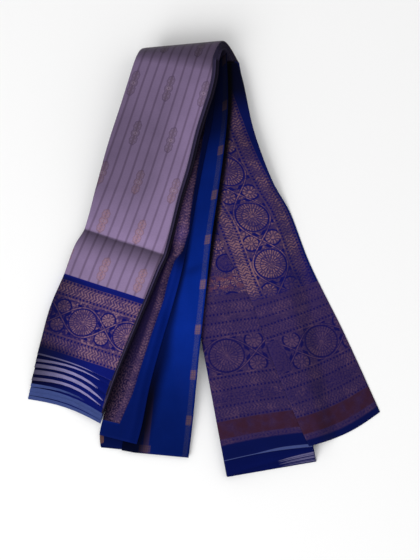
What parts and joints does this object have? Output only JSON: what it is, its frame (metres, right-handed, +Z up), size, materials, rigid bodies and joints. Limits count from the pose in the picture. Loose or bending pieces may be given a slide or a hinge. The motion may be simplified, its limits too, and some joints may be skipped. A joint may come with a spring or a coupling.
{
  "type": "folded saree",
  "caption": "Pleated silk saree with woven borders, bent over its middle and laid flat in an open V, its pleats stepped at both hems.",
  "frame": {"origin": "centre of the bounding box's underside, on the surface the saree lies on", "axes": "+Z up from the surface, +Y from the hems towards the bend, +X to the right seen from above with the bend at the top"},
  "size_m": [0.5255, 0.6513, 0.058],
  "materials": {
    "striped_silk": "satin, lavender with dark stripes along the pleat",
    "layered_silk": "satin, folded edges in shade",
    "blue_silk": "satin, royal blue",
    "brocade": "satin with copper coloured thread woven in"
  },
  "bodies": {
    "root": {"outer_pleat": "striped_silk", "front_layers": "layered_silk", "bend_layers": "layered_silk", "back_layers": "blue_silk", "pallu_panel": "brocade", "pallu_fan": "brocade", "drape_layers": "blue_silk", "blue_pleat": "blue_silk", "bordered_pleat": "brocade"}
  },
  "joints": []
}
